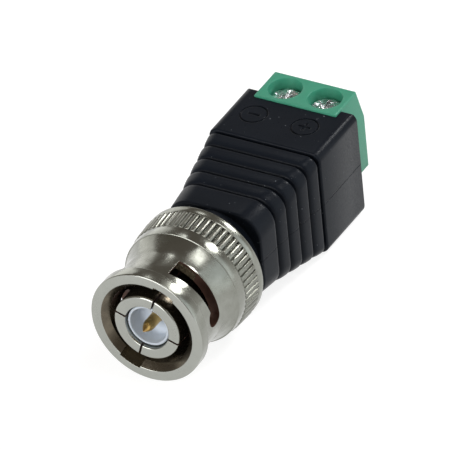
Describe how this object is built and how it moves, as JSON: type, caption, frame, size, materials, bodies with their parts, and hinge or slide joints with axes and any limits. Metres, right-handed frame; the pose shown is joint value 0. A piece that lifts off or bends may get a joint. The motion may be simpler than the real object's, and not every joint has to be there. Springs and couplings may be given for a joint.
{
  "type": "bnc screw terminal connector",
  "caption": "Bayonet coaxial plug on a tapered, grooved black housing that holds a green screw terminal block for bare wires.",
  "frame": {"origin": "centre of the outer contact's front face", "axes": "+Y along the plug's axis from the mouth to the terminals, +Z towards the clamp screws, +X towards the plus terminal"},
  "size_m": [0.0152, 0.0422, 0.0152],
  "materials": {
    "nickel_plate": "bright nickel plate",
    "gold_plate": "gold plate",
    "insulator": "smooth moulded",
    "gasket_rubber": "matte",
    "spring_steel": "plain",
    "tinned_brass": "tin plate",
    "red_insulation": "satin",
    "black_insulation": "satin",
    "black_abs": "satin moulded",
    "green_nylon": "satin moulded",
    "plated_screw": "bright plate"
  },
  "bodies": {
    "root": {"plug_body": "nickel_plate", "rear_body": "nickel_plate", "front_insulator": "insulator", "rear_insulator": "insulator", "centre_pin": "gold_plate", "sealing_gasket": "gasket_rubber", "wave_washer": "spring_steel", "retaining_ring": "spring_steel", "ground_lug": "tinned_brass", "signal_jumper": "red_insulation", "ground_jumper": "black_insulation", "upper_shell": "black_abs", "lower_shell": "black_abs", "terminal_housing": "green_nylon", "contact_bar_left": "tinned_brass", "contact_bar_right": "tinned_brass"},
    "washer": {"thrust_washer": "spring_steel"},
    "nut": {"coupling_nut": "nickel_plate"},
    "screw_left": {"clamp_screw_left": "plated_screw"},
    "screw_right": {"clamp_screw_right": "plated_screw"},
    "cage_left": {"clamp_cage_left": "nickel_plate"},
    "cage_right": {"clamp_cage_right": "nickel_plate"}
  },
  "joints": [
    {"name": "nut_slide", "type": "slide", "parent": "root", "child": "washer", "axis": [0, -1, 0], "range_m": [0, 0.0007], "stiffness_N_per_m": 12000, "springref_m": -0.0004, "deforming": ["wave_washer"]},
    {"name": "nut_spin", "type": "hinge", "parent": "washer", "child": "nut", "pos_m": [0, 0, 0], "axis": [0, 1, 0], "continuous": true},
    {"name": "screw_left_turn", "type": "hinge", "parent": "root", "child": "screw_left", "pos_m": [-0.00254, 0.03778, 0], "axis": [0, 0, -1], "range_deg": [0, 1440]},
    {"name": "cage_left_lift", "type": "slide", "parent": "root", "child": "cage_left", "axis": [0, 0, 1], "range_m": [0, 0.002]},
    {"name": "screw_right_turn", "type": "hinge", "parent": "root", "child": "screw_right", "pos_m": [0.00254, 0.03778, 0], "axis": [0, 0, -1], "range_deg": [0, 1440]},
    {"name": "cage_right_lift", "type": "slide", "parent": "root", "child": "cage_right", "axis": [0, 0, 1], "range_m": [0, 0.002]}
  ],
  "couplings": [
    {"joint": "screw_left_turn", "follows": "cage_left_lift", "rad_per_m": 12566},
    {"joint": "screw_right_turn", "follows": "cage_right_lift", "rad_per_m": 12566}
  ]
}
